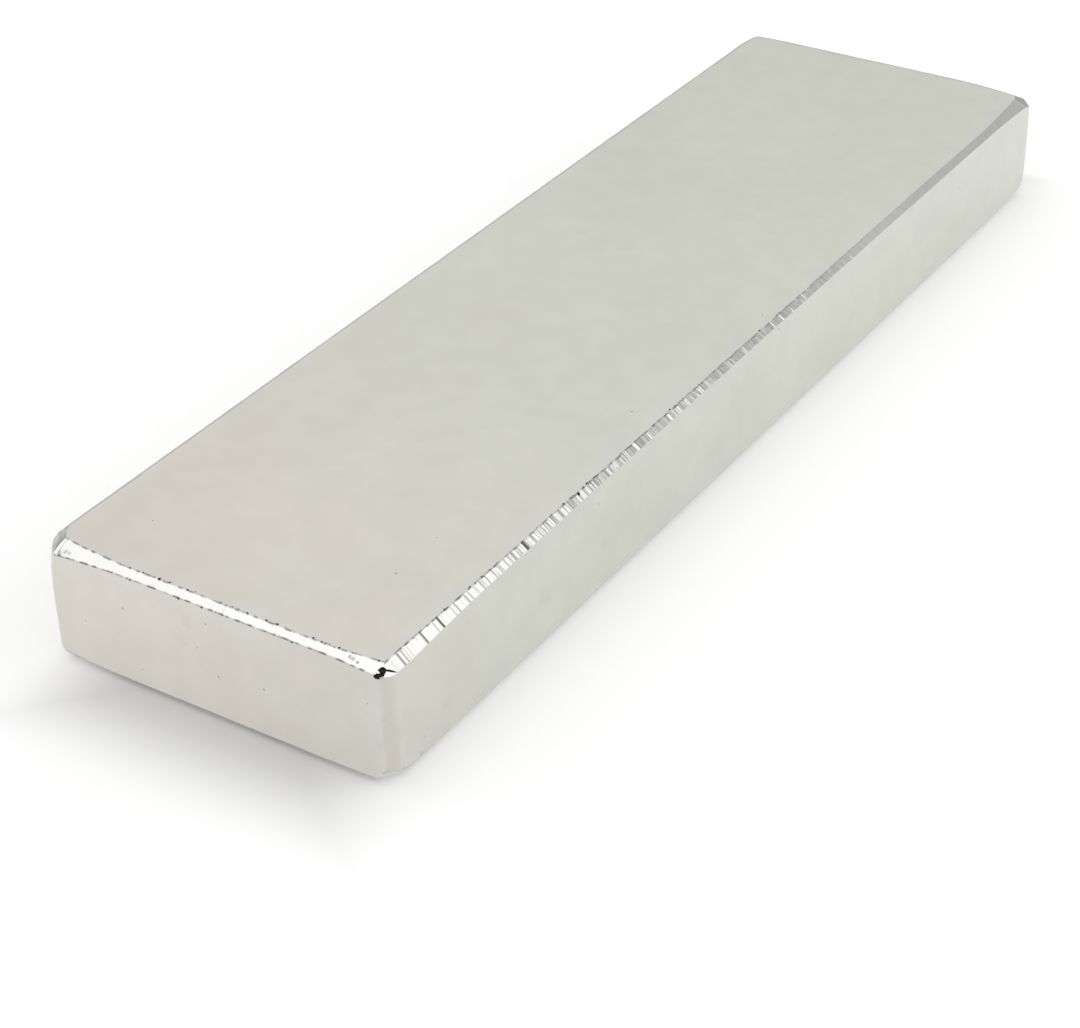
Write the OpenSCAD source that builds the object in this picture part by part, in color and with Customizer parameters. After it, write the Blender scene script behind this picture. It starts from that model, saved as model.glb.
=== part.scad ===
// Plated block magnet: a long flat bar with ground chamfers that widen where
// they run out at the corners. It lies on one pole face, and the origin is the
// centre of that face. Length runs along x, width along y, thickness along z.

/* [Block] */
// Length of the block
block_l = 105; // [60:1:180]
// Width of the block
block_w = 30; // [20:1:60]
// Thickness, from one pole face to the other
block_t = 10; // [6:0.5:30]

/* [Ground edges] */
// Reach of a long edge's chamfer over the pole face
long_inset = 0.6; // [0.3:0.05:1.2]
// Reach of a long edge's chamfer down the side
long_drop = 0.5; // [0.3:0.05:1.2]
// Reach of an end edge's chamfer over the pole face
end_inset = 0.75; // [0.3:0.05:1.2]
// Reach of an end edge's chamfer down the end
end_drop = 0.45; // [0.3:0.05:1.2]
// Reach of the chamfer on an upright edge, the same over the side and the end
upright_leg = 0.85; // [0.4:0.05:1.2]
// Extra depth ground off a pole face chamfer by the time it reaches a corner
flare_depth = 0.35; // [0.1:0.05:0.5]
// Length of each end stretch over which that depth is gained
flare_l = 7; // [3:0.5:9]
// Depth ground off the point where three chamfers meet
corner_depth = 0.2; // [0.05:0.05:0.4]

/* [Hidden] */
$fn = 360;
nickel = [0.80, 0.79, 0.73];
// Stretch of a cutter past the metal that it takes away
overrun = 2;
// Depth below a sharp edge for each unit of reach, on a chamfer that leans equally to both faces
leg_to_depth = sqrt(1 / 2);
// The same below a corner point, for a facet that leans equally to three faces
corner_to_depth = sqrt(1 / 3);
// Angle between the z axis and the normal of that facet
corner_lean = acos(corner_to_depth);

// Slope of a chamfer, down from the pole face.
function slope(inset, drop) = atan(drop / inset);

// Depth of a chamfer below the sharp edge, square to its own surface.
function depth(inset, drop) = inset * sin(slope(inset, drop));

// Reach over the pole face once the flare is ground off as well.
function flared_inset(inset, drop) = inset + flare_depth / sin(slope(inset, drop));

both_insets = flared_inset(long_inset, long_drop) + flared_inset(end_inset, end_drop);
// Distance below the pole face at which three flared chamfers meet
meeting_drop = (both_insets - upright_leg) / (long_inset / long_drop + end_inset / end_drop);
// Reach of the corner facet along each sharp edge
corner_leg = upright_leg + meeting_drop + corner_depth / corner_to_depth;
// Width of a cutter that clears the widest chamfer on both sides of its edge
cutter_w = 2 * (both_insets + overrun);

// The children, and their mirror image along one axis.
module both_ways(axis) {
    children();
    mirror(axis) children();
}

// Outline of a chamfer seen square to its edge, which runs along x. The metal
// stays below y = 0: straight in the middle, then falling away on an arc that
// is tangent to the straight and reaches flare_depth at the corner.
module kept_profile(run) {
    straight = run - 2 * flare_l;
    arc_r = (flare_l ^ 2 + flare_depth ^ 2) / (2 * flare_depth);
    translate([-straight / 2, -2 * arc_r]) square([straight, 2 * arc_r]);
    both_ways([1, 0]) translate([straight / 2, -arc_r]) circle(r = arc_r);
}

// Metal ground off along an edge of length run. The sharp edge is the x axis,
// and the block lies towards -y and -z.
module edge_waste(run, inset, drop) {
    above = depth(inset, drop) + overrun;
    below = flare_depth + overrun;
    rotate([-slope(inset, drop), 0, 0])
        translate([0, 0, -depth(inset, drop)])
            rotate([90, 0, 0])
                linear_extrude(height = cutter_w, center = true)
                    difference() {
                        translate([-run / 2 - overrun, -below])
                            square([run + 2 * overrun, above + below]);
                        kept_profile(run);
                    }
}

// Metal ground off an upright edge, which is the z axis.
module upright_waste() {
    rotate([0, 0, 45])
        translate([cutter_w / 2 - upright_leg * leg_to_depth, 0, 0])
            cube([cutter_w, cutter_w, block_t + 2 * overrun], center = true);
}

// Metal taken off a corner point, which is the origin.
module corner_waste() {
    rotate([0, corner_lean, 45])
        translate([0, 0, cutter_w / 2 - corner_leg * corner_to_depth])
            cube(cutter_w, center = true);
}

module magnet_block() {
    color(nickel)
        translate([0, 0, block_t / 2])
            difference() {
                cube([block_l, block_w, block_t], center = true);
                both_ways([0, 0, 1]) {
                    both_ways([0, 1, 0])
                        translate([0, block_w / 2, block_t / 2])
                            edge_waste(block_l, long_inset, long_drop);
                    both_ways([1, 0, 0])
                        translate([block_l / 2, 0, block_t / 2])
                            rotate([0, 0, -90]) edge_waste(block_w, end_inset, end_drop);
                }
                both_ways([1, 0, 0]) both_ways([0, 1, 0])
                    translate([block_l / 2, block_w / 2, 0]) {
                        upright_waste();
                        both_ways([0, 0, 1]) translate([0, 0, block_t / 2]) corner_waste();
                    }
            }
}

magnet_block();
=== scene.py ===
# %% [markdown]
# A plated block magnet: a flat bar of sintered metal under a thin satin coat of nickel. It has
# no holes and no parts that move, so its whole look is in three things: the proportions of the
# bar, the chamfers that a belt grinder left along its edges, and the way that soft metal picks
# up the light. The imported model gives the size. Every number below is in millimetres until it
# reaches a mesh, where `MM` turns it into metres.

import math
import random

import bpy
from mathutils import Matrix, Vector


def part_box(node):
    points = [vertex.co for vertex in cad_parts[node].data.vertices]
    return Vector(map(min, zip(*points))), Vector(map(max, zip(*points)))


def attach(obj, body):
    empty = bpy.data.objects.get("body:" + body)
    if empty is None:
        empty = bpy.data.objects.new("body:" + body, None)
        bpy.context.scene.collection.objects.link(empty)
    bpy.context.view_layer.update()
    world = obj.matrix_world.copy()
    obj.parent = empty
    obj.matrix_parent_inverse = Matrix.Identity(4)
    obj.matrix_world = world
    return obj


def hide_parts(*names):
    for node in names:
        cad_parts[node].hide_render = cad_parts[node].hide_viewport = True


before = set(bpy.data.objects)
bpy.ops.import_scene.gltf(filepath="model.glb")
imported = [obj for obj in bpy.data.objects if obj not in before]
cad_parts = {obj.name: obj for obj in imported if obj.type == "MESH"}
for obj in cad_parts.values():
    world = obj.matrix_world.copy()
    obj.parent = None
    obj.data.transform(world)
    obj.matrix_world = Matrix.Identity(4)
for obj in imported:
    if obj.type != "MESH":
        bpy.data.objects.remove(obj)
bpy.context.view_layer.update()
MM = 0.001
low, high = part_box("magnet_block")
length, width, thick = [side / MM for side in high - low]
print(f"block: {length:.1f} x {width:.1f} x {thick:.1f} mm")

# %% [markdown]
# The camera comes first, because everything else is judged through it. It looks down on one
# corner from less than two block lengths away. A lens is only a ratio: the focal length against
# the sensor's width sets how fast the far end shrinks, and that was found by matching the
# block's long edges. The slight roll is what a hand-held picture has.

# %% Stand the camera where the picture was taken
eye = Vector((-155.8, -96.0, 108.8))
aim = Vector((-31.56, -13.78, 10.0))
roll = math.radians(-1.51)
lens_mm = 83.8
sensor_mm = 36.0
nearest_seen = 10.0


def aimed(start, target, turn=0.0):
    """A placement that looks from start to target, in millimetres, turned about that line."""
    ahead = (target - start).normalized()
    level = ahead.cross(Vector((0, 0, 1))).normalized()
    above = level.cross(ahead)
    right = level * math.cos(turn) + above * math.sin(turn)
    up = right.cross(ahead)
    spin = Matrix((right, up, -ahead)).transposed().to_4x4()
    return Matrix.Translation(start * MM) @ spin


camera = bpy.data.objects.new("camera", bpy.data.cameras.new("camera"))
camera.data.lens = lens_mm
camera.data.sensor_width = sensor_mm
camera.data.sensor_fit = "HORIZONTAL"
camera.data.clip_start = nearest_seen * MM
camera.matrix_world = aimed(eye, aim, roll)
bpy.context.scene.collection.objects.link(camera)
bpy.context.scene.camera = camera
bpy.context.scene.view_settings.view_transform = "Standard"
print(f"camera {(aim - eye).length:.0f} mm from the top face, rolled {math.degrees(roll):.1f} degrees")

# %% [markdown]
# Helpers for shader nodes. Each material below is a short recipe, and these keep a recipe
# readable: `node` adds one, sets its plain values and plugs in its inputs by name. `ramp` is the
# one used most. Its four numbers are where a change starts, where it ends, and the level at
# either, and a named row of such numbers is called a fade from here on.

# %% Short helpers for node trees


def node(tree, kind, inputs=None, **settings):
    """Adds a node. Inputs map a socket's name or number to a value or to another node's output."""
    made = tree.nodes.new(kind)
    for name, value in settings.items():
        setattr(made, name, value)
    for name, value in (inputs or {}).items():
        if isinstance(value, bpy.types.NodeSocket):
            tree.links.new(value, made.inputs[name])
        else:
            made.inputs[name].default_value = value
    return made


def maths(tree, operation, *values):
    """The output of one Math node."""
    return node(tree, "ShaderNodeMath", dict(enumerate(values)), operation=operation).outputs[0]


def ramp(tree, value, low_in, high_in, low_out=0.0, high_out=1.0):
    """Value, carried smoothly from one range to another and held at its ends."""
    ends = {"From Min": low_in, "From Max": high_in, "To Min": low_out, "To Max": high_out}
    made = node(tree, "ShaderNodeMapRange", {"Value": value, **ends}, interpolation_type="SMOOTHSTEP")
    return made.outputs["Result"]


def blend(tree, amount, first, second):
    """First where the amount is 0, second where it is 1, and in between a mix of the two."""
    return maths(tree, "MULTIPLY_ADD", amount, maths(tree, "SUBTRACT", second, first), first)


def emptied(owner):
    """The owner's node tree, cleared of what Blender starts it with."""
    owner.use_nodes = True
    owner.node_tree.nodes.clear()
    return owner.node_tree


def ray_kinds(tree):
    """Three outputs: 1 for the camera's rays, 1 for rays off or through a surface, 1 for both kinds."""
    path = node(tree, "ShaderNodeLightPath")
    by_camera = path.outputs["Is Camera Ray"]
    mirrored = maths(tree, "MAXIMUM", path.outputs["Is Glossy Ray"], path.outputs["Is Transmission Ray"])
    return by_camera, mirrored, maths(tree, "MAXIMUM", by_camera, mirrored)


# %% [markdown]
# Satin metal has almost no colour of its own light: it shows its surroundings, blurred. So the
# surroundings are the first half of the finish. A white room is brightest overhead and falls off
# towards the horizon, and that fall is what shades the top face from its near end to its far
# end. Here it is made of three fades over the height of the view, which is 0 at the horizon and
# 1 straight up. The wall with the window differs: it is dimmer than the rest high up, where its
# lamp does the work, and never falls below a middling grey low down. Only reflected rays see
# all this. The camera sees plain white, and the light that the world throws on the floor is one
# even level, `room_light`.

# %% A white room that dims towards its horizon
room_light = 0.735
low_fade = (-0.05, 0.42, 0.32, 0.775)
middle_fade = (0.41, 0.48, 0.0, 0.165)
high_fade = (0.55, 0.95, 0.0, 0.06)
window_fade = (-0.45, 0.0, 0.66, 1.0)
window_floor_fade = (-0.45, 0.0, 0.52, 0.0)
plain_white = (1, 1, 1, 1)

world = bpy.data.worlds.new("white_room")
bpy.context.scene.world = world
room = emptied(world)
view = node(room, "ShaderNodeSeparateXYZ", {0: node(room, "ShaderNodeTexCoord").outputs["Generated"]})
height, sideways = view.outputs["Z"], view.outputs["Y"]
upper_light = maths(room, "ADD", ramp(room, height, *middle_fade), ramp(room, height, *high_fade))
rising = maths(room, "ADD", ramp(room, height, *low_fade), upper_light)
dimmed = maths(room, "MULTIPLY", rising, ramp(room, sideways, *window_fade))
room_in_metal = maths(room, "MAXIMUM", dimmed, ramp(room, sideways, *window_floor_fade))
_, mirrored, seen = ray_kinds(room)
shown = blend(room, mirrored, 1.0, room_in_metal)
level = blend(room, seen, room_light, shown)
glow = node(room, "ShaderNodeBackground", {"Color": plain_white, "Strength": level})
node(room, "ShaderNodeOutputWorld", {"Surface": glow.outputs[0]})
print(f"room: {len(room.nodes)} nodes, {room_light} of white on the floor")

# %% [markdown]
# Two soft boxes stand in for the ceiling lamp and the window. The first hangs above the far
# left and helps to turn the front chamfer white. The second stands off to the right: the near
# half of the long chamfer mirrors it, and the far half looks past its edge, so that one chamfer
# runs from white to grey. Both are kept below the level of white. A lamp much brighter than
# that would bleed over every thin dark line beside the chamfers.

# %% Two soft boxes


def soft_box(name, place, target, size_mm, shine):
    """A rectangular lamp whose face is as bright as a white surface times shine."""
    lamp = bpy.data.lights.new(name, "AREA")
    lamp.shape = "RECTANGLE"
    lamp.size, lamp.size_y = [side * MM for side in size_mm]
    area = lamp.size * lamp.size_y
    lamp.energy = shine * math.pi * area
    holder = bpy.data.objects.new(name, lamp)
    holder.matrix_world = aimed(Vector(place), Vector(target))
    bpy.context.scene.collection.objects.link(holder)
    print(f"{name}: {lamp.energy:.3f} W over {area * 1e4:.0f} square cm")


soft_box("ceiling_box", (-185, 345, 510), (-52, 0, 5), (330, 330), 0.20)
soft_box("window_box", (266, -649, 405), (-30, -15, 405), (650, 800), 0.70)

# %% [markdown]
# The floor is a sheet of white paper. It is a real diffuse surface near the block, so that it
# holds the block's soft shadow and shows it in the metal too, and it turns into plain white
# further out, where it meets the white room without a horizon. A little light of its own lifts
# the paper to white. For the camera that lift fades out towards the block's foot, which paints a
# shadow there on top of the real one: a row of the painted foot shadows names a side, and says
# how far beyond it the lift starts and where it is full, with the longest way before the near
# end. For the metal the lift is a little stronger close in, a painted light against the block's
# own shadow in its reflection, and before the near end it also leans, weaker on the right and
# stronger on the left, which is painted light and shade as well.

# %% A white paper floor
floor_reach = 2500.0
shade_ends = (189.0, 420.0)
paper_white = 0.93
# The foot shadows are painted shadows: they take the paper's own light away near the block.
painted_foot_shadows = (("X", -1, 0.0, 10.0), ("X", 1, 0.0, 4.0), ("Y", -1, -8.0, 5.0), ("Y", 1, -8.0, 1.0))
camera_lift = 0.30
metal_lift = 0.29
# The open loss and the lean paint light into the paper as the metal sees it.
open_loss = -0.045
painted_end_lean = (-0.050, 0.045)
cool_white = (0.94, 0.98, 1.06, 1)
around = ((-1, -1), (1, -1), (1, 1), (-1, 1))


def open_paper(tree, axes):
    """0 under the middle of the block and 1 in the open, with a way of its own beyond each side: the mask of
    the painted foot shadows.
    """
    share = 0.0
    for axis, side, starts, ends in painted_foot_shadows:
        half = (length if axis == "X" else width) / 2
        outward = maths(tree, "MULTIPLY", axes.outputs[axis], side / MM)
        share = maths(tree, "MAXIMUM", share, ramp(tree, outward, half + starts, half + ends))
    return share


def lift_in_metal(tree, axes, share):
    """The paper's own light as the metal sees it, painted stronger close to the block and leaning before its
    near end.
    """
    before_end = ramp(tree, axes.outputs["X"], (-length / 2 - 1) * MM, -length / 2 * MM, 1.0, 0.0)
    leaning = ramp(tree, axes.outputs["Y"], -width / 2 * MM, width / 2 * MM, *painted_end_lean)
    even = maths(tree, "MULTIPLY_ADD", share, open_loss, metal_lift)
    return maths(tree, "MULTIPLY_ADD", before_end, leaning, even)


def paper():
    """White paper: shaded near the block by its real shadow and a painted one, and plain white far from it.
    """
    material = bpy.data.materials.new("white_paper")
    tree = emptied(material)
    place = node(tree, "ShaderNodeTexCoord").outputs["Object"]
    axes = node(tree, "ShaderNodeSeparateXYZ", {0: place})
    by_camera, mirrored, seen = ray_kinds(tree)
    share = open_paper(tree, axes)
    for_metal = maths(tree, "MULTIPLY", mirrored, lift_in_metal(tree, axes, share))
    for_camera = maths(tree, "MULTIPLY", by_camera, maths(tree, "MULTIPLY", share, camera_lift))
    lit = node(tree, "ShaderNodeBsdfDiffuse", {"Color": (paper_white, paper_white, paper_white, 1)})
    cool = node(tree, "ShaderNodeEmission", {"Color": cool_white, "Strength": for_metal})
    plain = node(tree, "ShaderNodeEmission", {"Color": plain_white, "Strength": for_camera})
    lift = node(tree, "ShaderNodeAddShader", {0: cool.outputs[0], 1: plain.outputs[0]})
    near = node(tree, "ShaderNodeAddShader", {0: lit.outputs[0], 1: lift.outputs[0]})
    away = node(tree, "ShaderNodeVectorMath", {0: place}, operation="LENGTH").outputs["Value"]
    far = ramp(tree, away, shade_ends[0] * MM, shade_ends[1] * MM)
    white = node(tree, "ShaderNodeEmission", {"Color": plain_white, "Strength": 1.0})
    whiteness = maths(tree, "MULTIPLY", far, seen)
    mix = node(tree, "ShaderNodeMixShader", {0: whiteness, 1: near.outputs[0], 2: white.outputs[0]})
    node(tree, "ShaderNodeOutputMaterial", {"Surface": mix.outputs[0]})
    return material


sheet = bpy.data.meshes.new("paper_floor")
sheet_corners = [(x * floor_reach * MM, y * floor_reach * MM, low.z) for x, y in around]
sheet.from_pydata(sheet_corners, [], [(0, 1, 2, 3)])
sheet.materials.append(paper())
floor = bpy.data.objects.new("paper_floor", sheet)
bpy.context.scene.collection.objects.link(floor)
print(f"floor at z = {low.z / MM:.2f} mm")

# %% [markdown]
# Now the block. It is made as the factory makes it: a sharp bar, from which every edge is
# ground away. Each edge gets a long cutter, and a Boolean modifier takes it off. A bevel
# modifier would be quicker, but it gives every edge one even, glassy chamfer. A cutter is our
# own mesh, so it can widen towards the corners and carry the grinder's ripples. Blender's
# Manifold solver also carries over what is noted on the cutter, so each ground face arrives with
# four notes. `ground` is 1 where metal was taken. `lane` holds the place along the edge, the
# distance across the chamfer and its whole span. The third note holds how dark the lines along
# its two borders are, and how dark the face is: dirt, and on the lower edges a painted contact
# shade. `finish` holds how scored the face is, how broad the border lines are, and how cold the
# metal looks; on the coldest chamfers it also paints a highlight.

# %% The sharp bar
overrun = 2.0
NOTES = {"ground": "FLOAT", "lane": "FLOAT_VECTOR", "grime_and_shade": "FLOAT_VECTOR", "finish": "FLOAT_VECTOR"}


def solid(name, points, faces, notes=None, smooth=False):
    """A mesh object from points in millimetres. Notes give each layer one value per face corner."""
    mesh = bpy.data.meshes.new(name)
    mesh.from_pydata([Vector(point) * MM for point in points], [], faces)
    for layer, kind in NOTES.items():
        made = mesh.attributes.new(layer, kind, "CORNER")
        values = (notes or {}).get(layer)
        if values and kind == "FLOAT":
            made.data.foreach_set("value", values)
        elif values:
            made.data.foreach_set("vector", [number for value in values for number in value])
    mesh.polygons.foreach_set("use_smooth", [smooth] * len(faces))
    mesh.update()
    made = bpy.data.objects.new(name, mesh)
    bpy.context.scene.collection.objects.link(made)
    return made


bar_points = [(x * length / 2, y * width / 2, z) for z in (0, thick) for x, y in around]
bar_sides = [(i, (i + 1) % 4, (i + 1) % 4 + 4, i + 4) for i in range(4)]
block = solid("ground_block", bar_points, [(0, 3, 2, 1), (4, 5, 6, 7)] + bar_sides)


def grind(cutter):
    """Takes the cutter's shape off the block, and then throws the cutter away."""
    cut = block.modifiers.new("cut", "BOOLEAN")
    cut.operation = "DIFFERENCE"
    cut.solver = "MANIFOLD"
    cut.object = cutter
    graph = bpy.context.evaluated_depsgraph_get()
    mesh = bpy.data.meshes.new_from_object(block.evaluated_get(graph))
    block.modifiers.clear()
    old = block.data
    block.data = mesh
    bpy.data.meshes.remove(old)
    bpy.data.meshes.remove(cutter.data)


print(f"sharp bar: {len(block.data.polygons)} faces")

# %% [markdown]
# A belt grinder doesn't leave a plane. It bounces, and each bounce leaves a short flat across
# the chamfer with a small step to the next one. Those flats are what makes the chamfer flicker
# between white and grey. `bounces` walks along an edge and notes, for each station, where it
# is, how deep it lies, how far the flat reaches, and how much dirt sits in it. The steps are
# thin, steep and dirty. The flats are longer and nearly clean. `usual` holds what an edge gets
# when its own row says nothing: the push of the belt, how deep its bounces go, how much a flat
# tilts and how much its reach sways. A push, or any other value that may change along an edge,
# is either one number or a table of places and values.

# %% Bounces of the grinder
flat_lengths = (0.3, 1.7)
light_touch = 2
step_breadths = (0.06, 0.13)
shortest_flat = 0.03
usual = dict(force=0.8, depth=0.010, tilt=0.010, sway=0.018, notches=(), round_by=0.0, slant=0.0,
             rims=(0.0, 0.0), rim_force=1.0, line_width=0.12, scored=0.0, dull_and_shade=0.0, cold=0.0)


def between(place, table):
    """The value at a place, on straight lines through a table's pairs, or simply a plain number."""
    if not isinstance(table, tuple):
        return table
    if place <= table[0][0]:
        return table[0][1]
    for (start, first), (end, last) in zip(table, table[1:]):
        if place <= end:
            return first + (last - first) * (place - start) / (end - start)
    return table[-1][1]


def bounces(run, edge):
    """Stations along an edge. Each has a place, a depth, two gains in reach and a soot level."""
    dice = random.Random(edge["seed"])
    depth, tilt, sway = edge["depth"], edge["tilt"], edge["sway"]
    waiting = list(edge["notches"])
    stations = [(-overrun, 0.0, (0.0, 0.0), 0.0)]
    while stations[-1][0] < run + overrun:
        place, level, gains, _ = stations[-1]
        push = between(place, edge["force"])
        flat = edge["pitch"] * dice.uniform(*flat_lengths) * (1 + light_touch * (1 - push))
        breadth = dice.uniform(*step_breadths)
        dirt = edge["soot"] * push * dice.random()
        if waiting and place + flat > waiting[0][0]:
            notch, breadth, dirt = waiting.pop(0)
            flat = max(shortest_flat, notch - place)
        lean = dice.gauss(0, tilt) * push
        place += flat
        stations.append((place, level + lean * flat, gains, 0.0))
        place += breadth
        gains = (dice.uniform(-sway, sway) * push, dice.uniform(-sway, sway) * push)
        stations.append((place, dice.uniform(-depth, depth) * push, gains, dirt))
    return stations


trial = bounces(length, dict(usual, seed=1, pitch=0.4, soot=0.5))
deepest = max(station[1] for station in trial)
print(f"{len(trial)} stations along a long edge, up to {deepest / MM:.0f} microns deep")

# %% [markdown]
# One function makes every cutter. An edge is where two faces of the sharp bar meet. At each
# station the chamfer starts at some reach on the first face and ends at some reach on the
# second, and both reaches grow near the corners, because the grinder dwells where it turns.
# The rows of the cutter run the length of the edge, a little past both faces, and a last row
# outside the bar closes it into a solid. A row's number says how far across it is, with the two
# borders at 0 and 1. An edge can also be rounded: its section is then a blend between the
# straight line and a quarter of an ellipse, and needs more rows.

# %% The section of a cutter
hard_rows = (-0.3, 0.1, 0.5, 0.9, 1.3)
soft_rows = (-0.2, 0.03, 0.16, 0.33, 0.5, 0.67, 0.84, 0.97, 1.2)
X, Y, Z = Vector((1, 0, 0)), Vector((0, 1, 0)), Vector((0, 0, 1))


def flare(place, run, growths):
    """What a reach gains at a place. Each end of the run has a gain, its stretch and its bend."""
    total = 0.0
    for distance, (gain, stretch, bend) in ((place, growths[0]), (run - place, growths[1])):
        closeness = max(0.0, 1.0 - max(distance, 0.0) / stretch)
        total += gain * closeness ** bend
    return total


def section_point(row, wide, round_by):
    """How far in a row lies along each of the two faces."""
    straight = (wide[0] * (1 - row), wide[1] * row)
    if not 0 <= row <= 1:
        return straight
    angle = row * math.pi / 2
    curved = (wide[0] * (1 - math.sin(angle)), wide[1] * (1 - math.cos(angle)))
    return [straight[i] * (1 - round_by) + curved[i] * round_by for i in (0, 1)]


def softly(lane, round_by):
    """1 on a flat chamfer. On a rounded edge, a swell from 0 at the borders to 1 in the middle."""
    if not round_by:
        return 1.0
    across = min(max(lane[1] / lane[2], 0.0), 1.0)
    return math.sin(across * math.pi)


quarter_round = section_point(0.5, (1.0, 1.0), 1.0)
print(f"a round takes {quarter_round[0]:.2f} of its reach at its middle, and a flat 0.50")

# %% [markdown]
# The cutter is then put together in three steps: its rings of points, the faces between them,
# and the notes for every face corner. A cutter's faces have to face outward, or the solver would
# take the wrong side away, so they are flipped where the edge and its two faces turn that way.

# %% A cutter for one edge


def cutter_points(corner, along, inward, run, edge, stations):
    """A cutter's points, station by station, the lane that each is in, and how many make a ring."""
    rows = soft_rows if edge["round_by"] else hard_rows
    reach, growths = edge["reach"], edge["growths"]
    lean = math.atan2(between(run / 2, reach[1]), between(run / 2, reach[0]))
    into = inward[0] * math.sin(lean) + inward[1] * math.cos(lean)
    points, lanes = [], []
    for place, depth, gains, _ in stations:
        held = min(max(place, 0.0), run)
        wide = [between(held, reach[i]) + flare(held, run, growths[i]) + gains[i] for i in (0, 1)]
        span = math.hypot(wide[0], wide[1])
        for row in rows:
            across = section_point(row, wide, edge["round_by"])
            slid = place + edge["slant"] * (row - 0.5) * span
            spot = corner + along * slid + inward[0] * across[0] + inward[1] * across[1]
            points.append(spot + into * depth)
            lanes.append((place, row * span, span))
        points.append(corner + along * place - (inward[0] + inward[1]) * overrun)
        lanes.append((place, 0.0, span))
    return points, lanes, len(rows) + 1


def cutter_faces(stations, ring, flipped):
    """The faces between a cutter's rings, with both ends closed, and the soot on each face."""
    last = len(stations) - 1
    faces = [tuple(reversed(range(ring))), tuple(last * ring + row for row in range(ring))]
    soots = [0.0, 0.0]
    for step in range(last):
        for row in range(ring):
            a, b = step * ring + row, step * ring + (row + 1) % ring
            faces.append((a, b, b + ring, a + ring))
            soots.append(stations[step + 1][3])
    if flipped:
        faces = [tuple(reversed(face)) for face in faces]
    return faces, soots


def edge_cutter(name, corner, along, inward, run, edge, stations):
    """The metal ground off one edge. Inward holds the two faces' directions away from the edge."""
    points, lanes, ring = cutter_points(corner, along, inward, run, edge, stations)
    faces, soots = cutter_faces(stations, ring, along.dot(inward[0].cross(inward[1])) < 0)
    first_rim, second_rim = edge["rims"]
    notes = {layer: [] for layer in NOTES}
    for face, soot in zip(faces, soots):
        for index in face:
            place = lanes[index][0]
            fade = between(place, edge["rim_force"])
            dull_and_shade = between(place, edge["dull_and_shade"]) * softly(lanes[index], edge["round_by"])
            notes["ground"].append(1.0)
            notes["lane"].append(lanes[index])
            notes["grime_and_shade"].append((first_rim * fade, second_rim * fade, max(soot, dull_and_shade)))
            notes["finish"].append((between(place, edge["scored"]), edge["line_width"], edge["cold"]))
    return solid(name, points, faces, notes, smooth=edge["round_by"] > 0)


# %% [markdown]
# The two chamfers of the top face that look at the camera were measured from the picture, so
# their values are tables of places along the edge, counted from its start, and values there.
# The long one is broad at the near corner, narrow in its middle and broad again at the far
# corner. The belt pressed hardest between 20 and 60 mm, and there its bounces and its scores
# are strongest. The dark line along the upper border holds to 40 mm and then fades out. The
# front chamfer widens towards the left.

# %% The two chamfers nearest the eye
long_over = (
    (0, 0.54), (3, 0.55), (6, 0.50), (10, 0.50), (15, 0.47), (22, 0.48), (30, 0.45), (60, 0.47),
    (68, 0.55), (85, 0.57), (91, 0.52), (95, 0.52), (98, 0.60), (101, 0.78), (103, 0.92), (105, 1.0))
long_down = (
    (0, 1.12), (3, 1.10), (6, 0.92), (10, 0.71), (15, 0.66), (25, 0.58), (45, 0.55), (50, 0.50),
    (75, 0.48), (80, 0.52), (90, 0.52), (97, 0.58), (100, 0.67), (103, 0.88), (105, 1.0))
long_force = (
    (0, 0.35), (14, 0.5), (20, 1.0), (30, 1.0), (58, 0.85), (64, 0.45), (70, 0.12), (80, 0.06),
    (105, 0.05))
long_dull = ((60, 0), (68, 0.02), (95, 0.02), (100, 0))
long_rims = ((14, 1.0), (20, 0.82), (26, 1.0), (40, 0.95), (50, 0.70), (60, 0.55), (68, 0.35), (80, 0.10))
long_scored = (
    (0, 0.02), (5, 0.04), (8, 0.10), (13, 0.28), (17, 0.48), (24, 0.54), (30, 0.47), (40, 0.36),
    (47, 0.24), (52, 0.18), (58, 0.14), (64, 0.12), (70, 0.08), (105, 0.05))
front_over = ((8, 0.66), (13, 0.70), (18, 0.77), (30, 0.79))
print(f"long chamfer: {long_over[0][1]} mm over the top at the near end, {long_over[-1][1]} at the far end")

# %% [markdown]
# A notch is a bounce whose place is known: where it is, how broad it is and how dirty. The near
# end of the long chamfer has a dozen that the eye goes to at once, so they aren't left to the
# dice. The dice fill in the rest.

# %% Notches at the near end of the long chamfer
near_notches = (
    (2.3, 0.22, 0.55), (2.75, 0.15, 0.45), (4.9, 0.16, 0.75), (6.9, 0.20, 0.85), (8.45, 0.10, 0.4),
    (8.9, 0.14, 0.45), (10.0, 0.12, 0.3), (10.5, 0.12, 0.35), (11.9, 0.14, 0.5), (15.9, 0.1, 0.5),
    (16.7, 0.12, 0.5), (17.3, 0.30, 0.85))
print(f"{len(near_notches)} notches in the first {near_notches[-1][0]:.0f} mm")
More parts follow.
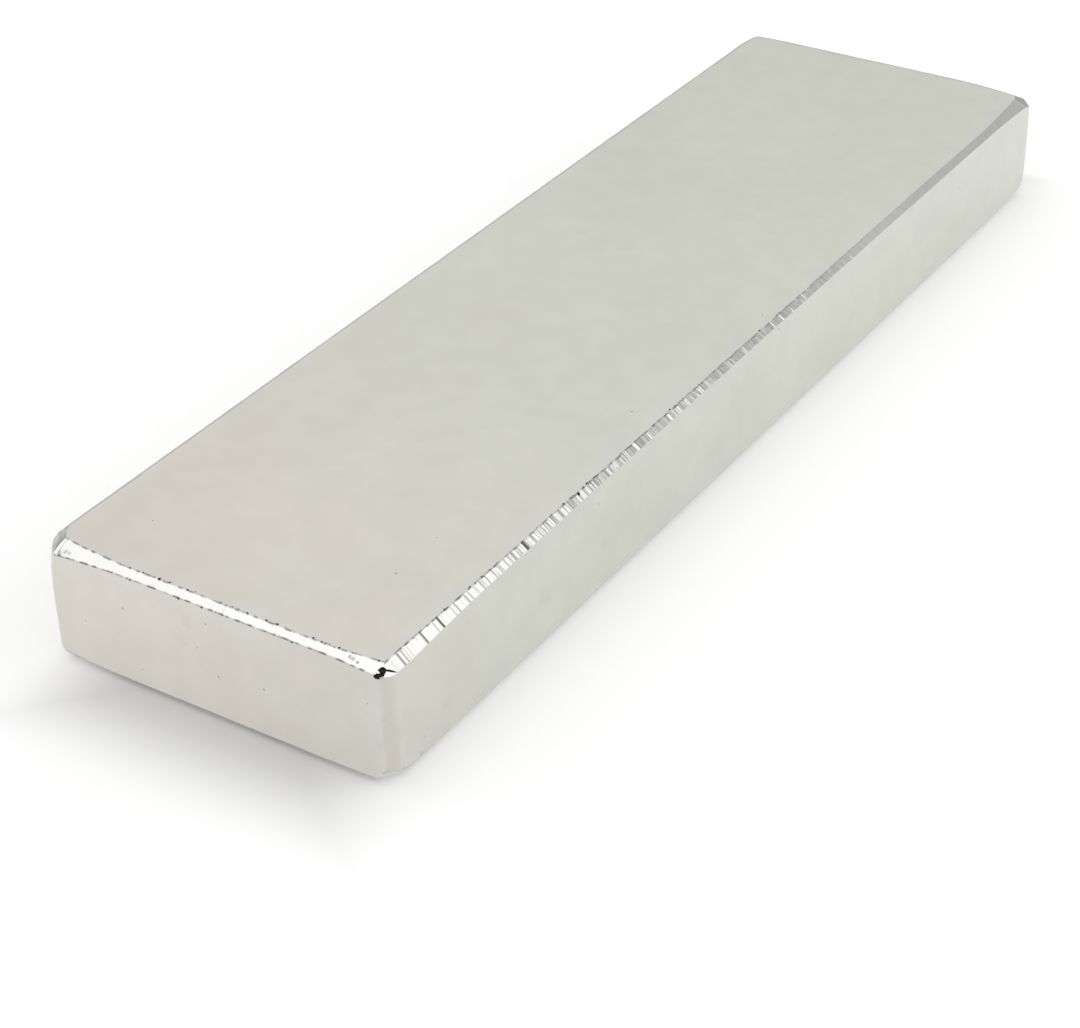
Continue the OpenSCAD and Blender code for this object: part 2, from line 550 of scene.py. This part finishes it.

# %% [markdown]
# The edges themselves. A row gives the side that the edge is on, then its reach over the pole
# face and down the side. Growths are what each reach gains at the start and at the end of the
# edge: the gain, over what stretch, and how bent the flare is. Pitch is the usual length of a
# flat between two bounces, soot the most dirt that a step holds, and slant how far the steps
# lean along the edge. Rims are how dark the lines along the two borders are, dull darkens the
# chamfer as a whole, and cold is how much of the nickel's yellow the belt took. From a cold of
# 0.65 to 0.75 the chamfer is also painted up to a fifth brighter, a painted highlight. The
# hidden edges follow the habits of the seen ones, and the two behind the top face get a second,
# shallow stroke that rolls them over. The lower edges get a softer, rounded section, and their
# dull is a painted contact shade where the bar meets the floor.

# %% Grind the edges of the pole faces
steady = ((0.0, 1.0, 1.0), (0.0, 1.0, 1.0))
widening = ((0.35, 6.0, 2.0), (0.35, 6.0, 2.0))
left_growths = (((0.05, 6, 2), (0.30, 5, 2)), ((0.05, 6, 2), (0.30, 5, 2)))
front_growths = (((0.45, 6, 2), (0.85, 8, 1.9)), ((0.25, 3, 2), (0.60, 8, 1.8)))
back_growths = (((1.00, 8, 2), (0.30, 5, 2)), ((0.40, 6, 2), (0.25, 5, 2)))
roll_growths = (((1.00, 8, 2), (0.30, 5, 2)), ((0.07, 8, 2), (0.02, 5, 2)))
low_front_growths = (widening, ((0.20, 5, 2), (0.40, 6, 2)))
calm = dict(depth=0.003, tilt=0.003, sway=0.012)
# The dull of every lower edge, in this set and in the low front row, is a painted contact shade along the
# floor.
soft = dict(round_by=0.6, dull_and_shade=0.25)
top_cold = 0.45
low_cold = 0.2
pole_edges = {
    "top_right": dict(
        side="-y", reach=(long_over, long_down), growths=(steady, steady), seed=11, pitch=0.26,
        soot=0.65, cold=0.75, rims=(0.80, 0.05), rim_force=long_rims, line_width=0.19, slant=0.3,
        force=long_force, scored=long_scored, dull_and_shade=long_dull, notches=near_notches,
        tilt=0.018, sway=0.035, depth=0.012),
    "top_left": dict(
        calm, side="+y", reach=(0.64, 0.60), growths=left_growths, seed=12, pitch=0.7, soot=0.5),
    "top_left_roll": dict(
        calm, side="+y", reach=(0.80, 0.17), growths=left_growths, seed=31, pitch=1.5, soot=0.3),
    "top_front": dict(
        side="-x", reach=(front_over, 0.43), growths=front_growths, seed=13, pitch=1.4, soot=0.15,
        cold=0.85, rims=(0.70, 0.78), line_width=0.18, force=0.4, sway=0.03),
    "top_back": dict(
        calm, side="+x", reach=(0.62, 0.45), growths=back_growths, seed=14, pitch=0.8, soot=0.3),
    "top_back_roll": dict(
        calm, side="+x", reach=(0.86, 0.06), growths=roll_growths, seed=32, pitch=1.5, soot=0.2),
    "low_right": dict(
        soft, side="-y", reach=(0.60, 0.50), growths=(widening, widening), seed=15, pitch=0.7, soot=0.4),
    "low_left": dict(
        soft, side="+y", reach=(0.55, 0.50), growths=(widening, widening), seed=16, pitch=0.7, soot=0.4),
    "low_front": dict(
        side="-x", reach=(0.70, 0.55), growths=low_front_growths, seed=17, pitch=0.9, soot=0.4,
        round_by=0.6, dull_and_shade=0.35),
    "low_back": dict(
        soft, side="+x", reach=(0.70, 0.50), growths=(widening, widening), seed=18, pitch=0.8, soot=0.3),
}

for name, row in pole_edges.items():
    on_top = name.startswith("top")
    edge = {**usual, "cold": top_cold if on_top else low_cold, **row}
    sign = 1 if edge["side"][0] == "+" else -1
    z, down = (thick, -Z) if on_top else (0.0, Z)
    if edge["side"][1] == "y":
        run, along, inside = length, X, -sign * Y
        corner = Vector((-length / 2, sign * width / 2, z))
    else:
        run, along, inside = width, Y, -sign * X
        corner = Vector((sign * length / 2, -width / 2, z))
    stations = bounces(run, edge)
    grind(edge_cutter(name, corner, along, (inside, down), run, edge, stations))
    print(f"{name}: {len(stations)} stations, {len(block.data.polygons)} faces in the block")

# %% [markdown]
# The four upright edges were dressed by hand as well, but more softly: their section is between
# a flat chamfer and a round. The near right one leans well over onto the long side.

# %% Grind the four upright edges
by_hand = dict(pitch=0.9, soot=0.10, depth=0.002, tilt=0.004, sway=0.015)
upright_edges = {
    "near_right": dict(
        at=(-1, -1), reach=(0.45, 1.60), round_by=0.9, seed=21, dull_and_shade=0.13,
        growths=(((0.10, 3, 2), (0.0, 3, 2)), ((0.20, 3, 2), (0.0, 3, 2)))),
    "near_left": dict(
        at=(-1, 1), reach=(0.95, 1.00), round_by=0.3, seed=22, dull_and_shade=0.10,
        growths=(((0.0, 3, 2), (0.85, 4, 2)), ((0.0, 3, 2), (1.0, 4, 2)))),
    "far_right": dict(
        at=(1, -1), reach=(0.70, 0.46), round_by=0.4, seed=23, dull_and_shade=0.10,
        growths=(((0.45, 4, 2), (0.35, 4, 2)), ((0.40, 4, 2), (0.30, 4, 2)))),
    "far_left": dict(
        at=(1, 1), reach=(0.85, 0.85), round_by=0.4, seed=24,
        growths=(((0.20, 3, 2), (0.20, 3, 2)), ((0.20, 3, 2), (0.20, 3, 2)))),
}
for name, row in upright_edges.items():
    edge = {**usual, **by_hand, **row}
    sx, sy = edge["at"]
    corner = Vector((sx * length / 2, sy * width / 2, 0))
    stations = bounces(thick, edge)
    grind(edge_cutter(name, corner, Z, (-sy * Y, -sx * X), thick, edge, stations))
print(f"after the uprights: {len(block.data.polygons)} faces")

# %% [markdown]
# Where three chamfers meet, the point was knocked off with one or two last dabs, and each dab
# leaves a small facet. A facet is a plane, and a plane is easiest to place by how far it reaches
# back along each of the three sharp edges. The dabs were hasty, so the facets are a little
# crumpled: each is a triangle of small triangles whose points are pushed in or out by a few
# microns, which is enough to scatter dark and bright flecks over it. The most crumpled one was
# rubbed over, so it is shaded smoothly. Soot is how dirty a facet is as a whole.

# %% Knock off the corner points
corner_dabs = [
    ((-1, 1, 1), (3.34, 2.62, 1.62), 11, 0.012, 0.14),
    ((-1, 1, 1), (3.45, 2.40, 1.66), 10, 0.006, 0.12),
    ((1, -1, 1), (3.90, 1.90, 1.36), 10, 0.002, 0.28),
    ((1, 1, 1), (2.00, 2.00, 1.80), 10, 0.004, 0.0),
    ((-1, -1, 1), (1.35, 1.10, 1.30), 4, 0.002, 0.0),
    ((-1, -1, 0), (2.40, 1.80, 1.70), 10, 0.004, 0.0),
    ((-1, 1, 0), (1.90, 1.90, 1.80), 10, 0.004, 0.0),
    ((1, -1, 0), (1.90, 2.10, 1.80), 10, 0.004, 0.0),
    ((1, 1, 0), (2.00, 1.90, 1.70), 10, 0.004, 0.0),
]
facet_spread = 1.7
facet_finish = (0.0, 0.01, 0.6)
rubbed_from = 0.01


def triangle_grid(first, second, third, cells, push):
    """Points and faces of a triangle cut into small triangles, and the points along its three sides."""
    points, faces, index = [], [], {}
    for row in range(cells + 1):
        for column in range(cells + 1 - row):
            index[row, column] = len(points)
            flat = first + (second - first) * (row / cells) + (third - first) * (column / cells)
            points.append(flat + push())
    for row in range(cells):
        for column in range(cells - row):
            a, b, c = index[row, column], index[row + 1, column], index[row, column + 1]
            faces.append((a, b, c))
            if (row + 1, column + 1) in index:
                faces.append((b, index[row + 1, column + 1], c))
    sides = ([index[row, 0] for row in range(cells + 1)],
             [index[cells - row, row] for row in range(cells + 1)],
             [index[0, cells - row] for row in range(cells + 1)])
    return points, faces, sides


def corner_cutter(corner, inward, reaches, cells, crumple, soot, dice):
    """A three-sided lump that takes a corner off, back to a crumpled triangle at the three reaches."""
    feet = [corner + direction * reach for direction, reach in zip(inward, reaches)]
    middle = sum(feet, Vector()) / 3
    first, second, third = [middle + (foot - middle) * facet_spread for foot in feet]
    across = (second - first).cross(third - first).normalized()

    def push():
        """A few microns in or out."""
        return across * dice.gauss(0, crumple)

    points, faces, sides = triangle_grid(first, second, third, cells, push)
    tip = len(points)
    points.append(corner - (inward[0] + inward[1] + inward[2]) * overrun)
    for side in sides:
        faces += [(b, a, tip) for a, b in zip(side, side[1:])]
    if inward[0].dot(inward[1].cross(inward[2])) < 0:
        faces = [tuple(reversed(face)) for face in faces]
    corners = 3 * len(faces)
    notes = {"ground": [1.0] * corners, "grime_and_shade": [(0.0, 0.0, soot)] * corners,
             "finish": [facet_finish] * corners}
    return solid("dab", points, faces, notes, smooth=crumple > rubbed_from)


dice = random.Random(8)
for (sx, sy, top), reaches, cells, crumple, soot in corner_dabs:
    corner = Vector((sx * length / 2, sy * width / 2, thick * top))
    inward = (-sx * X, -sy * Y, -Z if top else Z)
    grind(corner_cutter(corner, inward, reaches, cells, crumple, soot, dice))
print(f"after the corners: {len(block.data.polygons)} faces, {len(block.data.vertices)} points")

# %% [markdown]
# Sintered magnets are as brittle as a cup. Grinding tears crumbs out of the borders, and the
# dark metal under the plating shows in the pits. Each crumb here is a small lump with the
# twelve corners of an icosahedron, pushed about a little, pressed into the border and taken away.

# %% The shape of a crumb
golden = (1 + 5 ** 0.5) / 2
lump_points = [Vector(point).normalized() for a in (-1, 1) for b in (-golden, golden)
               for point in ((0, a, b), (a, b, 0), (b, 0, a))]
neighbours_within = 1.06
lump_sizes = (0.7, 1.15)


def lump_faces():
    """The twenty triangles between the lump's nearest points, all facing out."""
    found = []
    for i in range(12):
        for j in range(i + 1, 12):
            for k in range(j + 1, 12):
                a, b, c = lump_points[i], lump_points[j], lump_points[k]
                if max((a - b).length, (b - c).length, (a - c).length) < neighbours_within:
                    outward = (b - a).cross(c - a).dot(a) > 0
                    found.append((i, j, k) if outward else (i, k, j))
    return found


lump_sides = lump_faces()
print(f"a crumb has {len(lump_points)} points and {len(lump_sides)} faces")


def tear(centre, axis, long, wide, dice, soot):
    """Takes one lump out of the block, stretched along an axis."""
    side = axis.orthogonal().normalized()
    other = axis.cross(side)
    points = []
    for spot in lump_points:
        size = dice.uniform(*lump_sizes)
        points.append(centre + (axis * spot.x * long + side * spot.y * wide + other * spot.z * wide) * size)
    corners = 3 * len(lump_sides)
    notes = {"ground": [1.0] * corners, "grime_and_shade": [(0.0, 0.0, soot)] * corners}
    grind(solid("crumb", points, lump_sides, notes))


# %% [markdown]
# The larger crumbs have places of their own, because the eye goes to them first. One bite of
# three lumps sits on the near right corner, with a tail along the border beside it: a row gives
# the place from that corner, the direction, the length, the width and the soot. The others
# follow the front chamfer's two borders: a row gives how far left of the middle a chip is, how
# far in from the end or down from the top, and its size.

# %% Tear out the larger crumbs
dice = random.Random(5)
near_corner = Vector((-length / 2, -width / 2, thick))
bites = [
    (Vector((0.62, 0.30, -0.37)), Vector((0.63, -0.73, -0.27)), 0.46, 0.26, 1.0),
    (Vector((0.06, 0.56, -0.60)), Vector((0.75, -0.62, -0.15)), 0.34, 0.25, 1.0),
    (Vector((0.36, 0.34, -0.57)), Vector((0.80, -0.55, 0.18)), 0.38, 0.19, 1.0),
    (Vector((1.17, 0.22, -0.75)), Vector((0.79, -0.28, -0.62)), 0.80, 0.12, 0.95),
]
upper_chips = [
    (7.04, 0.72, 0.12), (5.88, 0.74, 0.10), (4.42, 0.73, 0.16), (3.51, 0.80, 0.11), (1.90, 0.72, 0.12),
    (1.27, 0.80, 0.08), (-3.29, 0.70, 0.09), (-4.94, 0.68, 0.12), (-5.88, 0.70, 0.12), (-8.86, 0.72, 0.11),
    (-9.59, 0.66, 0.09), (-11.01, 0.72, 0.12), (-14.07, 0.93, 0.11),
]
lower_chips = [
    (6.5, 0.45, 0.09), (2.2, 0.40, 0.13), (0.15, 0.41, 0.10), (-7.55, 0.42, 0.09), (-12.4, 0.40, 0.12),
]
upper_axis = (X + 0.3 * Y).normalized()
upper_soot = 0.85
lower_soot = 0.8
lower_stretch = 1.3
for offset, axis, long, wide, soot in bites:
    tear(near_corner + offset, axis.normalized(), long, wide, dice, soot)
for y, inset, size in upper_chips:
    tear(Vector((-length / 2 + inset, y, thick)), upper_axis, size, size, dice, upper_soot)
for y, drop, size in lower_chips:
    tear(Vector((-length / 2, y, thick - drop)), Y, size * lower_stretch, size, dice, lower_soot)
print(f"{len(bites)} bites, {len(upper_chips) + len(lower_chips)} chips along the front chamfer")

# %% [markdown]
# The finest ones are left to the dice: tiny crumbs along the front border, and along the first
# 60 mm of the long one, denser towards its near end. Each pair of numbers is a least and a most.

# %% Scatter the fine crumbs
front_inset = 0.73
front_crumbs = 14
front_places = (-13.5, 13.0)
front_sizes = (0.035, 0.065)
front_strays = (-0.03, 0.05)
front_stretch = 1.6
front_soot = 0.8
long_inset = 0.49
long_crumbs = 46
long_start, long_span, long_crowding = 1.2, 62, 1.3
long_least, long_extra = 0.04, 0.05
long_strays = (-0.05, 0.02)
long_stretch = 1.8
long_soot = 0.9
front_border = Vector((-length / 2 + front_inset, 0, thick))
long_border = Vector((0, -width / 2 + long_inset, thick))
for _ in range(front_crumbs):
    y = dice.uniform(*front_places)
    size = dice.uniform(*front_sizes)
    centre = front_border + Y * y + X * dice.uniform(*front_strays)
    tear(centre, Y, size * front_stretch, size, dice, front_soot)
for _ in range(long_crumbs):
    x = -length / 2 + long_start + long_span * dice.random() ** long_crowding
    size = long_least + long_extra * dice.random() ** 2
    centre = long_border + X * x + Y * dice.uniform(*long_strays)
    tear(centre, X, size * long_stretch, size, dice, long_soot)
print(f"{front_crumbs + long_crumbs} fine crumbs: {len(block.data.polygons)} faces in the block")

# %% [markdown]
# Away from the borders there are only single pits: one deep black one in the long chamfer, and
# faint ones on the faces, where a bubble in the bath kept the nickel thin. A row gives the
# place, the size and how much dark metal shows.

# %% Prick the single pits
deep_pit = Vector((-27.78, -14.62, 9.85))
deep_size = 0.18
specks = [
    ((1.96, -13.55, 10.0), 0.10, 0.4), ((-42.85, -9.24, 10.0), 0.10, 0.35), ((-46.4, 9.5, 10.0), 0.09, 0.25),
    ((-37.8, -9.2, 10.0), 0.08, 0.2), ((-16.2, -12.2, 10.0), 0.13, 0.2), ((-52.5, 7.54, 6.77), 0.10, 0.3),
    ((-52.5, -0.05, 8.27), 0.10, 0.3), ((-52.5, -0.7, 4.0), 0.10, 0.3), ((-52.5, -4.7, 4.5), 0.10, 0.35),
    ((-52.5, 1.01, 5.86), 0.08, 0.3), ((-52.5, 11.39, 4.28), 0.08, 0.3), ((-52.5, 6.4, 1.9), 0.08, 0.2),
    ((-52.5, -13.58, 6.83), 0.08, 0.2), ((-48.3, -15.0, 1.8), 0.08, 0.2), ((-25.6, -15.0, 7.9), 0.12, 0.15),
    ((2.16, -15.0, 9.04), 0.12, 0.2), ((36.6, -15.0, 7.0), 0.12, 0.15),
]
speck_flatness = 0.6
tear(deep_pit, Z, deep_size, deep_size, dice, 1.0)
for place, size, soot in specks:
    tear(Vector(place), Y, size * speck_flatness, size, dice, soot)
print(f"{len(specks) + 1} pits: {len(block.data.polygons)} faces in the block")

# %% [markdown]
# The finish is one material for the whole bar, because the bar was plated in one bath. It could
# be a flat metal colour, but real nickel isn't one colour: it is a slightly yellow grey, a little
# pinker at the near end of this bar, and colder along every border, where the plating is
# thickest. A push is how many millimetres soft noise shifts the limits between them, so that
# none can be seen as a line, and the lean turns the pink one across the bar. The top face went
# colder than the sides, and its skin is the depth over which one turns into the other. The belt
# took the yellow from the chamfers, and the coldest of them, the two that face the lamps, are
# painted up to a fifth brighter as well: a painted highlight.

# %% The colours of the nickel
pink_nickel = (0.716, 0.680, 0.608, 1)
green_nickel = (0.705, 0.710, 0.625, 1)
cold_nickel = (0.700, 0.702, 0.690, 1)
pink_fade = (-34.0, 6.0, 1.0, 0.0)
pink_lean = -0.8
blotch_size, blotch_push, blotch_start = 9.0, 40.0, -11.0
fleck_size, fleck_push = 2.4, 22.0
border_fade = (2.0, 3.6, 1.0, 0.0)
border_cloud_size, border_push = 4.0, 3.0
side_cold, top_face_cold = 0.16, 0.45
top_face_skin = (0.3, 0.1)
patch_size, broad_size = 2.6, 16.0
mottle_fade = (0.36, 0.64, 0.985, 1.015)
painted_highlight_fade = (0.65, 0.75, 1.0, 1.2)


def colour_mix(tree, amount, first, second):
    """Two colours, mixed by an amount."""
    return node(tree, "ShaderNodeMix", {0: amount, 6: first, 7: second}, data_type="RGBA").outputs[2]


def cloud(tree, place, size_mm, detail=2.0):
    """Soft noise, whose lumps are about size_mm across."""
    inputs = {"Vector": place, "Scale": 1 / size_mm, "Detail": detail}
    return node(tree, "ShaderNodeTexNoise", inputs).outputs[0]


def border_distance(tree, x, y, z):
    """How far a point of a face is from the nearest edge of the bar."""
    end_gap = maths(tree, "SUBTRACT", length / 2, maths(tree, "ABSOLUTE", x))
    side_gap = maths(tree, "SUBTRACT", width / 2, maths(tree, "ABSOLUTE", y))
    pole_gap = maths(tree, "MINIMUM", z, maths(tree, "SUBTRACT", thick, z))
    least = maths(tree, "MINIMUM", end_gap, side_gap)
    most = maths(tree, "MAXIMUM", end_gap, side_gap)
    return maths(tree, "MAXIMUM", least, maths(tree, "MINIMUM", most, pole_gap))


def nickel_colour(tree, place, axes, ground, belt_cold):
    """Clean nickel: pink to green along the bar, cold at the borders and on what the belt ground, with a
    painted highlight on the coldest chamfers.
    """
    x, y, z = axes
    blotches = maths(tree, "MULTIPLY_ADD", cloud(tree, place, blotch_size), blotch_push, blotch_start)
    flecks = cloud(tree, place, fleck_size, detail=1.0)
    patchy = maths(tree, "MULTIPLY_ADD", flecks, fleck_push, blotches)
    from_end = maths(tree, "ADD", patchy, maths(tree, "MULTIPLY_ADD", y, pink_lean, x))
    metal = colour_mix(tree, ramp(tree, from_end, *pink_fade), green_nickel, pink_nickel)

    gap = border_distance(tree, x, y, z)
    uneven = maths(tree, "MULTIPLY_ADD", cloud(tree, place, border_cloud_size), border_push, gap)
    skin_low, skin_high = [thick - depth for depth in top_face_skin]
    by_face = ramp(tree, z, skin_low, skin_high, side_cold, top_face_cold)
    unground = maths(tree, "MULTIPLY", by_face, ramp(tree, ground, 0.0, 1.0, 1.0, 0.0))
    cold = maths(tree, "MULTIPLY_ADD", ramp(tree, uneven, *border_fade), unground, belt_cold)
    metal = colour_mix(tree, cold, metal, cold_nickel)

    patch = ramp(tree, cloud(tree, place, patch_size, detail=3.0), *mottle_fade)
    broad = ramp(tree, cloud(tree, place, broad_size), *mottle_fade)
    # A painted highlight: the coldest chamfers, which face the lamps, get a brighter colour.
    painted_highlight = ramp(tree, belt_cold, *painted_highlight_fade)
    tone = maths(tree, "MULTIPLY", maths(tree, "MULTIPLY", patch, broad), painted_highlight)
    return node(tree, "ShaderNodeVectorMath", {0: metal, "Scale": tone}, operation="SCALE").outputs[0]


# %% [markdown]
# Dirt is the other half of the finish. It is one number, 0 on clean nickel and 1 on the bare
# dark alloy, and the same number carries a painted contact shade along the lower edges. Dark
# lines run along the chamfers' borders, broad and strong in places and faint in others. The
# bounces are cut in the metal, and between them the belt's finest scores cross the chamfer like
# the teeth of a comb. A noise with one dimension, read along the edge, draws those. A pace is
# how fast such a noise changes for each millimetre, and the shifts start the two borders at
# different places in it, so that they don't look alike.

# %% Border lines and the belt's scores
bare_alloy_and_shade = (0.036, 0.033, 0.029, 1)
line_pace = 1.3
breadth_fade = (0.35, 0.68, 0.85, 1.2)
strength_fade = (0.38, 0.62, 0.45, 1.0)
line_fade = (0.30, 1.0, 1.0, 0.0)
first_shift, second_shift = 3.0, 47.0
thinnest_line = 0.01
narrowest_span = 0.1
comb_pace = 2.4
wobble_size, wobble_push = 0.8, 0.2
comb_fade = (0.47, 0.60, 0.0, 1.0)
crossing_fade = (0.1, 1.0, 0.95, 0.75)


def streaks(tree, along_edge, pace):
    """Noise that changes only along an edge."""
    inputs = {"W": along_edge, "Scale": pace, "Detail": 3.0}
    return node(tree, "ShaderNodeTexNoise", inputs, noise_dimensions="1D").outputs[0]


def border_line(tree, along_edge, inward, strength, usual_width, shift):
    """A thin line along a border: broad and dark where a slow noise is high, fine where it is low."""
    wave = streaks(tree, maths(tree, "MULTIPLY_ADD", along_edge, line_pace, shift), 1.0)
    breadth = maths(tree, "MULTIPLY", usual_width, ramp(tree, wave, *breadth_fade))
    share = maths(tree, "DIVIDE", inward, breadth)
    line = maths(tree, "MULTIPLY", ramp(tree, share, *line_fade), ramp(tree, wave, *strength_fade))
    return maths(tree, "MULTIPLY", line, strength)


def belt_dirt_and_shade(tree, place, lane, grime_and_shade, finish):
    """What the belt left on a chamfer: its two border lines, its scores and its soot, which on the lower
    edges also carries a painted contact shade.
    """
    along_edge, across, span = lane
    line_width = maths(tree, "MAXIMUM", finish[1], thinnest_line)
    first = border_line(tree, along_edge, across, grime_and_shade[0], line_width, first_shift)
    from_second = maths(tree, "SUBTRACT", span, across)
    second = border_line(tree, along_edge, from_second, grime_and_shade[1], line_width, second_shift)
    wobble = maths(tree, "MULTIPLY_ADD", cloud(tree, place, wobble_size), wobble_push, along_edge)
    crossing = maths(tree, "DIVIDE", across, maths(tree, "MAXIMUM", span, narrowest_span))
    comb = ramp(tree, streaks(tree, wobble, comb_pace), *comb_fade)
    teeth = maths(tree, "MULTIPLY", comb, ramp(tree, crossing, *crossing_fade))
    scores = maths(tree, "MULTIPLY", teeth, finish[0])
    dirt = maths(tree, "MAXIMUM", maths(tree, "MAXIMUM", first, second), grime_and_shade[2])
    return maths(tree, "MAXIMUM", dirt, scores)


# %% [markdown]
# Last come smears: where hands and the bench rubbed the plating, it is duller. Each one is a
# soft ball of dirt with a centre, a radius and a strength, broken up by a fine noise. Broad,
# faint ones lie on the faces and down the near right upright. Small, strong ones are rubs on the
# near left corner's facets and at both ends of the front chamfer.

# %% Smears and rubs
smears = [
    ((-33.1, -15.0, 4.0), 1.3, 0.07), ((-45.6, -15.0, 2.9), 1.0, 0.04), ((-24.8, -15.0, 3.8), 0.9, 0.04),
    ((-52.5, 2.4, 6.2), 1.2, 0.05), ((-52.5, 1.6, 7.8), 0.9, 0.05), ((-52.5, 8.5, 3.0), 1.2, 0.04),
    ((-51.66, -14.82, 8.1), 0.5, 0.12), ((-51.8, -14.75, 7.6), 0.5, 0.06), ((-51.8, -14.75, 6.8), 0.7, 0.08),
    ((-51.5, -14.85, 5.9), 0.6, 0.05), ((-51.5, -14.85, 4.1), 0.9, 0.09), ((-52.35, -14.6, 3.6), 0.6, 0.07),
    ((-52.3, -14.6, 1.3), 0.4, 0.25), ((-48.8, -15.0, 0.6), 0.35, 0.35), ((-51.72, -14.93, 8.02), 0.35, 0.22),
    ((-51.42, -14.97, 7.01), 0.35, 0.18), ((-51.56, -14.95, 5.25), 0.45, 0.18),
    ((-52.17, -14.80, 7.44), 0.35, 0.18), ((-52.27, -14.76, 5.82), 0.40, 0.18),
]
rubs = [
    ((-50.5, 14.9, 9.45), 0.55, 0.45), ((-50.3, 14.2, 9.95), 0.40, 0.30), ((-51.9, 14.2, 9.2), 0.50, 0.30),
    ((-52.27, 13.25, 9.43), 0.28, 1.0), ((-52.40, 13.14, 9.33), 0.24, 0.95),
    ((-52.10, 12.77, 9.53), 0.28, 0.35), ((-52.13, 12.40, 9.57), 0.24, 0.30),
    ((-52.06, -12.31, 9.77), 0.22, 1.0), ((-52.03, -12.03, 9.81), 0.20, 0.95),
    ((-52.16, -12.73, 9.68), 0.18, 0.60),
]
smear_core = 0.3
wiped_size = 0.7
wiped_fade = (0.42, 0.60, 0.4, 1.0)


def smeared(tree, place, dirt):
    """The dirt, with the smears and the rubs over it."""
    wiped = ramp(tree, cloud(tree, place, wiped_size, detail=3.0), *wiped_fade)
    for centre, radius, strength in smears + rubs:
        apart = node(tree, "ShaderNodeVectorMath", {0: place, 1: centre}, operation="DISTANCE")
        ball = ramp(tree, apart.outputs["Value"], smear_core * radius, radius, strength, 0.0)
        dirt = maths(tree, "MAXIMUM", dirt, maths(tree, "MULTIPLY", ball, wiped))
    return dirt


print(f"{len(smears)} smears and {len(rubs)} rubs")

# %% [markdown]
# The recipe as a whole. The notes from the cutters say where metal was ground, where a border
# runs, where dirt sits and, along the lower edges, where a painted contact shade sits. Ground
# metal is smoother than the plated faces, and dirt is rougher than both. A bump of less than a
# micron gives the plating the fine grain that spreads its reflections.

# %% Satin nickel
plated_roughness = 0.28
ground_roughness = 0.17
dirt_roughness = 0.3
grain_size = 0.25
grain_depth = 0.0006


def noted(tree, layer):
    """The three numbers that the cutters noted on a layer."""
    attribute = node(tree, "ShaderNodeAttribute", attribute_name=layer)
    return node(tree, "ShaderNodeSeparateXYZ", {0: attribute.outputs["Vector"]}).outputs


def nickel():
    """Satin nickel plating."""
    material = bpy.data.materials.new("satin_nickel")
    tree = emptied(material)
    metres = node(tree, "ShaderNodeTexCoord").outputs["Object"]
    place = node(tree, "ShaderNodeVectorMath", {0: metres, "Scale": 1 / MM}, operation="SCALE").outputs[0]
    axes = node(tree, "ShaderNodeSeparateXYZ", {0: place}).outputs
    ground = node(tree, "ShaderNodeAttribute", attribute_name="ground").outputs["Fac"]
    finish = noted(tree, "finish")
    metal = nickel_colour(tree, place, axes, ground, finish[2])
    from_belt = belt_dirt_and_shade(tree, place, noted(tree, "lane"), noted(tree, "grime_and_shade"), finish)
    dirt = smeared(tree, place, from_belt)
    # Mixing towards the dark alloy draws dirt, and along the lower edges it paints contact shade.
    colour = colour_mix(tree, dirt, metal, bare_alloy_and_shade)

    clean = ramp(tree, ground, 0.0, 1.0, plated_roughness, ground_roughness)
    rough = maths(tree, "MULTIPLY_ADD", dirt, dirt_roughness, clean)
    grain = cloud(tree, place, grain_size, detail=3.0)
    bump = node(tree, "ShaderNodeBump", {"Height": grain, "Strength": 1.0, "Distance": grain_depth * MM})
    inputs = {"Base Color": colour, "Roughness": rough, "Normal": bump.outputs[0], "Metallic": 1.0}
    shader = node(tree, "ShaderNodeBsdfPrincipled", inputs)
    node(tree, "ShaderNodeOutputMaterial", {"Surface": shader.outputs[0]})
    print(f"satin nickel: {len(tree.nodes)} nodes")
    return material


block.data.materials.clear()
block.data.materials.append(nickel())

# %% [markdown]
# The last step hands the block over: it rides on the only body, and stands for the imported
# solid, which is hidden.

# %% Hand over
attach(block, "root")
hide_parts("magnet_block")
